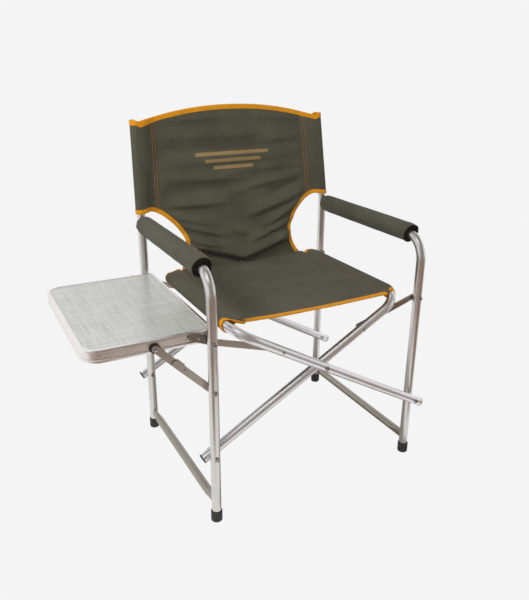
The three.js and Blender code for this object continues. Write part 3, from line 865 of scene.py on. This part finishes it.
def binding(name, place, count, across, follow, width=12, thick=2.8):
    """Tape folded over an edge. place(t) runs along the edge and across(t) points into the cloth."""
    points = [place(i / count) for i in range(count + 1)]
    inward = [across(i / count) for i in range(count + 1)]
    normals = []
    for i, into in enumerate(inward):
        tangent = (points[min(i + 1, count)] - points[max(i - 1, 0)]).normalized()
        normals.append(tangent.cross(into).normalized())
    half = thick / 2000
    deep = width / 1000
    section = [(-0.0006, 0), (0.0002, half * 0.8), (deep * 0.3, half), (deep, half * 0.75)]
    section += [(deep, -half * 0.75), (deep * 0.3, -half), (0.0002, -half * 0.8)]
    rings = []
    for point, into, normal in zip(points, inward, normals):
        rings += [point + into * a + normal * b for a, b in section]
    uvs = [(0.003 * j, along) for along in lengths_along(points) for j in range(len(section))]
    faces = ring_faces(count + 1, len(section)) + end_caps(count + 1, len(section))
    piece = outward(make(name, rings, faces, BINDING, uvs))
    follow(piece)


def between(edge, inside):
    """The direction from an edge to a point further in on the same cloth."""
    return lambda t: (inside(t) - edge(t)).normalized()


def stitches(name, place, length, follow, out=lambda t: Vector((0, -1, 0))):
    """A row of raised stitches along place(t), of a given length in metres. out(t) points off the cloth."""
    pitch, run, wide, lift = 0.0042, 0.0029, 0.00065, 0.0006
    count = int(length / pitch)
    points = []
    faces = []
    for i in range(count):
        a = place(i / count)
        b = place(min(1, (i + run / pitch) / count))
        along = (b - a).normalized()
        up = out(i / count).normalized()
        side = along.cross(up).normalized()
        start = len(points)
        for end, rise in ((a, 0.1), (a.lerp(b, 0.25), 1), (a.lerp(b, 0.75), 1), (b, 0.1)):
            for s, h in ((-1, 0), (-0.6, 1), (0.6, 1), (1, 0)):
                raised = up * (lift * (0.2 + 0.8 * h * rise))
                points.append(end + side * s * wide * (0.5 + 0.5 * rise) + raised)
        for k in range(3):
            for m in range(3):
                p = start + 4 * k + m
                faces.append((p, p + 1, p + 5, p + 4))
            p = start + 4 * k
            faces.append((p + 3, p, p + 4, p + 7))
        faces.append((start, start + 1, start + 2, start + 3))
        faces.append((start + 15, start + 14, start + 13, start + 12))
    piece = outward(make(name, points, faces, THREAD))
    follow(piece)


def ride_and_crumple(body):
    def follow(piece):
        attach(piece, body)
        crumple(piece)

    return follow


def rides(body):
    return lambda piece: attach(piece, body)


def add_back():
    """The back above its hinge line, the waisted cloth below it, the sleeves and the bindings."""
    upper = grid("back_cloth", panel_point, 150, 96, CANVAS, (0.46, 0.26))
    thicken(upper, rim=False)
    finish_piece(upper, "left_frame", "canvas", "back_panel")
    crumple(upper)
    lower = grid("lower_back_cloth", lower_back_point, 120, 96, CANVAS, (0.4, 0.15))
    thicken(lower, rim=False)
    finish_piece(lower, "lower_back", "canvas", "lower_back_panel")
    crumple(lower)
    for side in FRAMES:
        add_back_sleeve(side)
    top = lambda t: panel_point(t, 1) + BINDING_LIFT
    inside = between(top, lambda t: panel_point(t, 0.96))
    binding("back_top_binding", top, 120, inside, ride_and_crumple("left_frame"))
    for side, (way, _) in FRAMES.items():
        edge = 0 if way < 0 else 1

        def inside_of(place, way=way):
            def inward(t):
                run = place(min(1, t + 0.02)) - place(max(0, t - 0.02))
                across = Vector((run.z, 0, -run.x)).normalized() * way
                inside = (place(t) - ORIGIN) * 1000 + across * 10
                x, z = inside.x, inside.z
                return (mm(x, back_depth(x, z), z) - place(t)).normalized()

            return inward

        waist = lambda t, edge=edge: lower_back_point(edge, 1 - t)
        hip = lambda t, edge=edge: panel_point(edge, 0.066 * (1 - t))
        binding(side + "_waist_binding", waist, 90, inside_of(waist), ride_and_crumple("lower_back"), 10.5)
        binding(side + "_hip_binding", hip, 14, inside_of(hip), ride_and_crumple("left_frame"), 10.5)


def seat_tube_point(side, y):
    """The middle of a seat tube at y from the middle of its side: straight, then into its bends."""
    straight = HALF_DEPTH - BEND_R
    over = max(0, abs(y) - straight)
    reach = SEAT_REACH - (BEND_R - math.sqrt(max(0, BEND_R**2 - over**2)))
    return cross_place(side, reach, y)


def mouth(side, u, toward):
    """Depth at which a seat sleeve ends. u runs from the seam over the tube, under it and back."""
    if toward < 0:
        return SEAT_FRONT + 23 * smooth(0, 0.28, u) - 8 * smooth(0.3, 0.55, u) + 12 * smooth(0.6, 0.75, u)
    seam, tube_top = (192, 184) if side == "left" else (184, 203)
    bump = 9 if side == "left" else 3
    under = -4 * smooth(0.4, 0.6, u) + (seam - tube_top) * smooth(0.7, 1, u)
    return seam + (tube_top - seam) * smooth(0, 0.26, u) + bump * math.sin(math.pi * min(1, u / 0.26)) + under


def sleeve_point(side):
    """A seat sleeve from its seam at u = 0, over the tube, round under it and back to the seam at u = 1."""
    way, layer = FRAMES[side]
    over_end, under_start = 0.26, 0.72
    first_turn, last_turn = 14, -218  # degrees from the top of the tube, where the cloth meets and leaves it

    def place(u, v):
        front, rear = mouth(side, u, -1), mouth(side, u, 1)
        y = front + (rear - front) * v
        wound = max(0, min(1, (u - over_end) / (under_start - over_end)))
        turn = math.radians(first_turn + (last_turn - first_turn) * wound)
        out = Vector((-way * math.sin(turn), 0, math.cos(turn)))
        point = seat_tube_point(side, y - layer) + out * FABRIC_R / 1000
        if over_end <= u <= under_start:
            return point
        upper = (u / over_end, 0, 1.4)
        lower = ((1 - u) / (1 - under_start), 1.5, -2.6)
        share, drop, swell = upper if u < over_end else lower
        point = mm(way * STITCH_X, y, SEAT_Z - drop).lerp(point, share)
        point.z += swell * math.sin(math.pi * share) / 1000
        return point

    return place


def seat_point(u, v):
    """The seat between its seams. Its front edge is hollow, and its rear runs under the lower back."""
    x = (2 * u - 1) * STITCH_X
    hollow = 5 * (1 - (x / STITCH_X) ** 2)
    front = SEAT_FRONT + hollow
    rear = low_edge(x) + 3 - 11 * smooth(172, STITCH_X, abs(x))
    y = front + (rear - front) * v
    return mm(x, y, SEAT_Z - seat_drop(x, y))


def across_crease(piece):
    """Bakes a seat piece's placement into its mesh."""
    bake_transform(piece)


def add_seat():
    """The seat's cloth, a sleeve round each seat tube, the bindings and the seams."""
    cloth = grid("seat_cloth", seat_point, 96, 90, CANVAS, (0.38, 0.4))
    thicken(cloth)
    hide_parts("left_seat_panel", "right_seat_panel")
    across_crease(cloth)
    front = lambda t: seat_point(t, 0)
    inwards = between(front, lambda t: seat_point(t, 0.03))
    binding("seat_front_binding", front, 64, inwards, across_crease, 12, 4.6)
    for side, (way, _) in FRAMES.items():
        body = side + "_cross"
        wall = sleeve_point(side)
        wrap = grid(side + "_seat_wrap", wall, 64, 64, CANVAS, (0.12, 0.38))
        thicken(wrap)
        finish_piece(wrap, body, "canvas", side + "_seat_sleeve")
        for end, toward in ENDS.items():
            v = 0 if toward < 0 else 1

            def turned_in(t, v=v, wall=wall, toward=toward):
                hang = smooth(0.26, 0.1, t) if toward < 0 else 0
                inward = (wall(t, v - toward * 0.04) - wall(t, v)).normalized()
                return (inward + Vector((0, 0, -1.1 * hang))).normalized()

            place = lambda t, v=v, wall=wall: wall(t, v)
            binding(f"{side}_{end}_sleeve_mouth", place, 64, turned_in, rides(body), 10, 3)
        for row, along in enumerate((0.02, 0.08)):
            place = lambda t, along=along, wall=wall: wall(along, 0.025 + 0.95 * t)
            stitches(f"{side}_seat_stitches_{row + 1}", place, 0.36, rides(body), lambda t: UP)
        inner = lambda t, way=way: seat_point(0.5 + way * 0.488, 0.03 + 0.94 * t)
        stitches(f"{side}_seat_stitches_3", inner, 0.36, rides(side + "_seat"), lambda t: UP)


# ---- arm pads ----
def add_arm_pad(side):
    """A foam tube in a sewn cover with gathered ends. Its seam runs along the top, to the right."""
    way, layer = FRAMES[side]
    body = side + "_frame"
    x = way * HALF_WIDTH
    bend_end = layer - HALF_DEPTH + BEND_R
    turn = math.radians(15)
    start = mm(x, bend_end - BEND_R * math.sin(turn), ARM_Z - BEND_R * (1 - math.cos(turn)))
    corner = mm(x, bend_end - BEND_R * math.tan(turn / 2), ARM_Z)
    stop = mm(x, layer + HALF_DEPTH - 22, ARM_Z)
    points = bent_path([start, corner, stop], BEND_R / 1000, 8, 0.006)
    count = len(points)
    seed = Vector((5 + way, 2, 1))
    around = 48
    radius = 23.2
    seam_turn = math.radians(62 if side == "left" else 40)

    def section(i):
        share = i / (count - 1)
        edge = (1 - share) * (count - 1)
        mouth_edge = math.exp(-share * (count - 1) / 1.2)
        pairs = []
        for j in range(around):
            angle = 2 * math.pi * j / around
            place = Vector((math.cos(angle) * 1.3, math.sin(angle) * 1.3, share * 9))
            ripple = 0.45 * noise.noise(place + seed)
            gather = math.exp(-edge / 2.2)
            pucker = 1.1 * gather * math.sin(9 * angle + 3 * way) * (0.6 + 0.4 * noise.noise(place * 3))
            away = (angle - seam_turn + math.pi) % (2 * math.pi) - math.pi
            welt = 0.9 * math.exp(-((away / 0.05) ** 2))
            fray = 0.8 * mouth_edge * noise.noise(place * 4 + seed)
            r = radius + ripple + pucker + welt + fray - 1.6 * gather + 0.4 * mouth_edge
            flat = 1 - 0.02 * math.cos(2 * angle)
            pairs.append((r * flat * math.cos(angle) / 1000, r * math.sin(angle) / 1000))
        return pairs

    frames = travel_frames(points, UP)
    rings = [section(i) for i in range(count)]
    outer = [(i, 1.0) for i in range(count)]
    inner = [(count - 1, 0.93), (count - 1, 0.84), (count - 4, 0.8), (4, 0.8), (2, 0.92), (0, 0.95)]
    vertices = []
    uvs = []
    for i, scale in outer + inner:
        _, side_axis, other = frames[i]
        along = (points[i] - points[0]).length
        for j, (a, b) in enumerate(rings[i]):
            vertices.append(points[i] + side_axis * a * scale + other * b * scale)
            uvs.append((0.15 * j / around, along))
    total = len(outer) + len(inner)
    faces = ring_faces(total, around, closed=True)
    cover = outward(make(side + "_arm_pad_cover", vertices, faces, PAD_CANVAS, uvs))
    cover.data.materials.append(FOAM)
    for i, face in enumerate(cover.data.polygons):
        if len(outer) <= i // around < total - 1:
            face.material_index = 1
    finish_piece(cover, body, "pad_canvas", side + "_arm_cover")

    ring = [(a * 0.985, b * 0.985) for a, b in disc(0.0178, 28)]
    core = sweep(side + "_arm_pad_foam", points[3:-3], lambda i: ring, FOAM)
    finish_piece(core, body, "foam", side + "_arm_foam")

    def station(t):
        return min(count - 1, int(t * (count - 1)))

    def seam_out(t):
        _, side_axis, other = frames[station(t)]
        return side_axis * math.cos(seam_turn) + other * math.sin(seam_turn)

    seam = lambda t: points[station(t)] + seam_out(t) * 0.024
    stitches(side + "_arm_seam", seam, 0.38, rides(body), seam_out)
    add_frays(side, points[0], frames[0], body)


def add_frays(side, place, axes, body):
    """Loose thread ends round the front mouth of an arm cover."""
    rng = random.Random(11 if side == "left" else 12)
    tangent, side_axis, other = axes
    strands = 90
    rings = []
    faces = []
    for n in range(strands):
        angle = 2 * math.pi * n / strands + rng.uniform(-0.05, 0.05)
        out = side_axis * math.cos(angle) + other * math.sin(angle)
        start = place + out * rng.uniform(0.0195, 0.0225) + tangent * 0.0015
        length = rng.uniform(0.0025, 0.006)
        lean = -tangent * rng.uniform(0.1, 0.7) - out * rng.uniform(0.3, 1.2)
        bend = Vector([rng.uniform(-0.3, 0.3) for _ in range(3)])
        sideways = tangent.cross(out).normalized()
        base = len(rings)
        for step in range(4):
            share = step / 3
            point = start + (lean + bend * share) * length * share
            width = 0.0004 * (1 - 0.5 * share)
            rings += [point - sideways * width, point + out * width, point + sideways * width]
        for step in range(3):
            for m in range(3):
                a = base + 3 * step + m
                b = base + 3 * step + (m + 1) % 3
                faces.append((a, b, b + 3, a + 3))
        faces.append((base, base + 1, base + 2))
        faces.append((base + 9, base + 10, base + 11))
    finish_piece(outward(make(side + "_arm_frays", rings, faces, FRAY)), body, "pad_canvas")


# ---- print on the back ----
def add_print():
    """Three plain tan bars printed on the back, in place of any mark."""
    for i, width in enumerate((220, 170, 120)):
        low, high, left = 752 - 18 * i, 9, -width / 2 - 2

        def place(u, v):
            x, z = left + width * u, low + high * v
            return mm(x, back_depth(x, z) - 0.85, z)

        piece = grid(f"back_print_bar_{i + 1}", place, 24, 4, PRINT, (width / 1000, high / 1000))
        ride_and_crumple("left_frame")(piece)


# ---- stage ----
def emitter(name, colour, strength):
    """A surface that only glows."""
    n = Nodes(name)
    n.set(Base_Color=grey(0), Roughness=1.0, Specular_IOR_Level=0.0)
    n.set(Emission_Color=colour, Emission_Strength=strength)
    return n.material


def add_card(name, colour, corners, z, top=None, diffuse=False, strength=1.0):
    """A plain sheet out of the camera's sight, which only reflections or only soft light can see."""
    (x0, y0), (x1, y1) = corners
    rear = z if top is None else top
    points = [(x0, y0, z), (x1, y0, z), (x1, y1, rear), (x0, y1, rear)]
    sheet = make(name, points, [(0, 1, 2, 3)], emitter(name, srgb(colour), strength))
    sheet.visible_camera = False
    sheet.visible_diffuse = diffuse
    sheet.visible_glossy = not diffuse
    sheet.visible_shadow = False


def add_stage():
    """White paper, plain cards for the metal to reflect (one of them a painted shadow under the chair), and
    two soft lamps.
    """
    scene = bpy.context.scene
    scene.view_settings.view_transform = "Standard"
    world = bpy.data.worlds.new("world")
    scene.world = world
    world.use_nodes = True
    background = world.node_tree.nodes["Background"]
    background.inputs["Color"].default_value = (1, 1, 1, 1)
    background.inputs["Strength"].default_value = PAPER
    corners = [(-30, -30, 0), (30, -30, 0), (30, 30, 0), (-30, 30, 0)]
    floor = make("floor", corners, [(0, 1, 2, 3)], emitter("paper", grey(1), PAPER))
    floor.visible_diffuse = False
    add_card("flag", "#a4a4a4", [(-4, -4), (4, 4)], 3.2, diffuse=True)
    add_card("shade", "#9b9a98", [(-30, -30), (30, 30)], -0.01, diffuse=True)
    boards = ([(-4, -4), (4, -0.98)], [(-4, -0.98), (-0.24, -0.5)], [(0.36, -0.98), (4, -0.44)])
    for i, corners in enumerate(boards):
        add_card(f"boards_{i + 1}", "#8d7565", corners, 0.003)
    # A grey card on the paper under the chair, seen only in reflections: the chair's painted shadow on the
    # paper.
    add_card("painted_chair_shadow", "#8d8780", [(-0.12, -0.3), (0.44, 0.4)], 0.003)
    add_card("ceiling", "#8f8983", [(-4, -4), (4, 0.6)], 3.1)
    add_card("soft_box", "#ffffff", [(-2.1, -1.9), (-0.1, -0.5)], 2.6, strength=1.5)
    add_card("far_wall", "#8f8983", [(-4, -4.02), (4, -4)], 0, top=3.1)
    for name, place, power, size in (
        ("key", (-1.7, -0.75, 2.1), 30, 0.6),
        ("top", (0.5, 0.3, 2.6), 3, 1.1),
    ):
        data = bpy.data.lights.new(name, "AREA")
        data.energy = power
        data.size = size
        lamp = bpy.data.objects.new(name, data)
        lamp.visible_glossy = False
        scene.collection.objects.link(lamp)
        aim = Vector((0.1, 0, 0.5)) - Vector(place)
        lamp.matrix_world = Matrix.Translation(place) @ aim.to_track_quat("-Z", "Y").to_matrix().to_4x4()


# ---- the chair ----
add_camera()
add_stage()
for side in FRAMES:
    add_side_frame(side)
    add_cross_tube(side)
    add_arm_pad(side)
add_screws()
add_table_trim()
for end, toward in ENDS.items():
    add_table_fittings(end, toward)
add_back()
add_seat()
add_print()

# The CAD pieces that show as they are.
FINISHES = {
    "link": BAR_METAL,
    "brace": BAR_METAL,
    "bracket": DARK_STEEL,
    "washer": BLACK_PLASTIC,
    "post_plug": BLACK_PLASTIC,
    "table_board": LAMINATE,
}
for node_name, node in nodes.items():
    for ending, finish in FINISHES.items():
        if node_name.endswith(ending):
            node.data.materials.clear()
            node.data.materials.append(finish)
